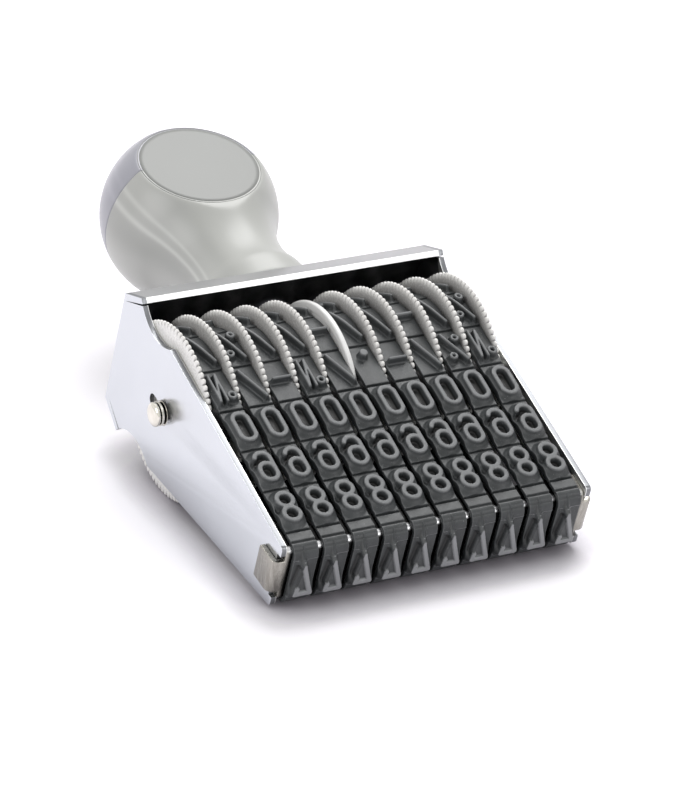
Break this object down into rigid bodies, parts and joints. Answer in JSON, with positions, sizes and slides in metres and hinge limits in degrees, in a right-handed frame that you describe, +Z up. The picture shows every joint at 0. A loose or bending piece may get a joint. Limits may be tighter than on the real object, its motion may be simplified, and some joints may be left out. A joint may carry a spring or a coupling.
{
  "type": "hand numbering stamp",
  "caption": "Hand numbering stamp: a folded metal bracket with a turned plastic knob holds toothed setting wheels on one axle, each with a closed rubber band of raised characters.",
  "frame": {"origin": "middle of the stamp on the bench, where it lies on its wheels and on the lower back characters", "axes": "+X along the axle, +Y from the printing face towards the knob, +Z up"},
  "size_m": [0.0626, 0.1087, 0.0391],
  "materials": {
    "bracket_chrome": "bright plated sheet",
    "axle_steel": "polished",
    "bed_nickel": "nickel plated, satin",
    "screw_steel": "dark, satin",
    "knob_plastic": "glossy, slightly pearly",
    "cap_plastic": "glossy",
    "label_plastic": "semi-gloss, bare",
    "divider_plastic": "satin",
    "wheel_plastic": "satin",
    "band_rubber": "matt moulded rubber"
  },
  "bodies": {
    "stamp": {"frame_bracket": "bracket_chrome", "axle_pin": "axle_steel", "printing_bed": "bed_nickel", "handle_screw": "screw_steel", "knob_body": "knob_plastic", "knob_cap": "cap_plastic", "label_plate": "label_plastic", "band_01": "band_rubber", "band_02": "band_rubber", "band_03": "band_rubber", "band_04": "band_rubber", "band_05": "band_rubber", "band_06": "band_rubber", "band_07": "band_rubber", "band_08": "band_rubber", "band_09": "band_rubber", "band_10": "band_rubber"},
    "divider": {"centre_divider": "divider_plastic"},
    "setting_01": {"wheel_01": "wheel_plastic"},
    "setting_02": {"wheel_02": "wheel_plastic"},
    "setting_03": {"wheel_03": "wheel_plastic"},
    "setting_04": {"wheel_04": "wheel_plastic"},
    "setting_05": {"wheel_05": "wheel_plastic"},
    "setting_06": {"wheel_06": "wheel_plastic"},
    "setting_07": {"wheel_07": "wheel_plastic"},
    "setting_08": {"wheel_08": "wheel_plastic"},
    "setting_09": {"wheel_09": "wheel_plastic"},
    "setting_10": {"wheel_10": "wheel_plastic"}
  },
  "joints": [
    {"name": "setting_turn_01", "type": "hinge", "parent": "stamp", "child": "setting_01", "pos_m": [0, -0.00992, 0.0155], "axis": [1, 0, 0], "continuous": true},
    {"name": "setting_turn_02", "type": "hinge", "parent": "stamp", "child": "setting_02", "pos_m": [0, -0.00992, 0.0155], "axis": [1, 0, 0], "continuous": true},
    {"name": "setting_turn_03", "type": "hinge", "parent": "stamp", "child": "setting_03", "pos_m": [0, -0.00992, 0.0155], "axis": [1, 0, 0], "continuous": true},
    {"name": "setting_turn_04", "type": "hinge", "parent": "stamp", "child": "setting_04", "pos_m": [0, -0.00992, 0.0155], "axis": [1, 0, 0], "continuous": true},
    {"name": "setting_turn_05", "type": "hinge", "parent": "stamp", "child": "setting_05", "pos_m": [0, -0.00992, 0.0155], "axis": [1, 0, 0], "continuous": true},
    {"name": "setting_turn_06", "type": "hinge", "parent": "stamp", "child": "setting_06", "pos_m": [0, -0.00992, 0.0155], "axis": [1, 0, 0], "continuous": true},
    {"name": "setting_turn_07", "type": "hinge", "parent": "stamp", "child": "setting_07", "pos_m": [0, -0.00992, 0.0155], "axis": [1, 0, 0], "continuous": true},
    {"name": "setting_turn_08", "type": "hinge", "parent": "stamp", "child": "setting_08", "pos_m": [0, -0.00992, 0.0155], "axis": [1, 0, 0], "continuous": true},
    {"name": "setting_turn_09", "type": "hinge", "parent": "stamp", "child": "setting_09", "pos_m": [0, -0.00992, 0.0155], "axis": [1, 0, 0], "continuous": true},
    {"name": "setting_turn_10", "type": "hinge", "parent": "stamp", "child": "setting_10", "pos_m": [0, -0.00992, 0.0155], "axis": [1, 0, 0], "continuous": true},
    {"name": "divider_turn", "type": "hinge", "parent": "stamp", "child": "divider", "pos_m": [0, -0.00992, 0.0155], "axis": [1, 0, 0], "continuous": true}
  ]
}
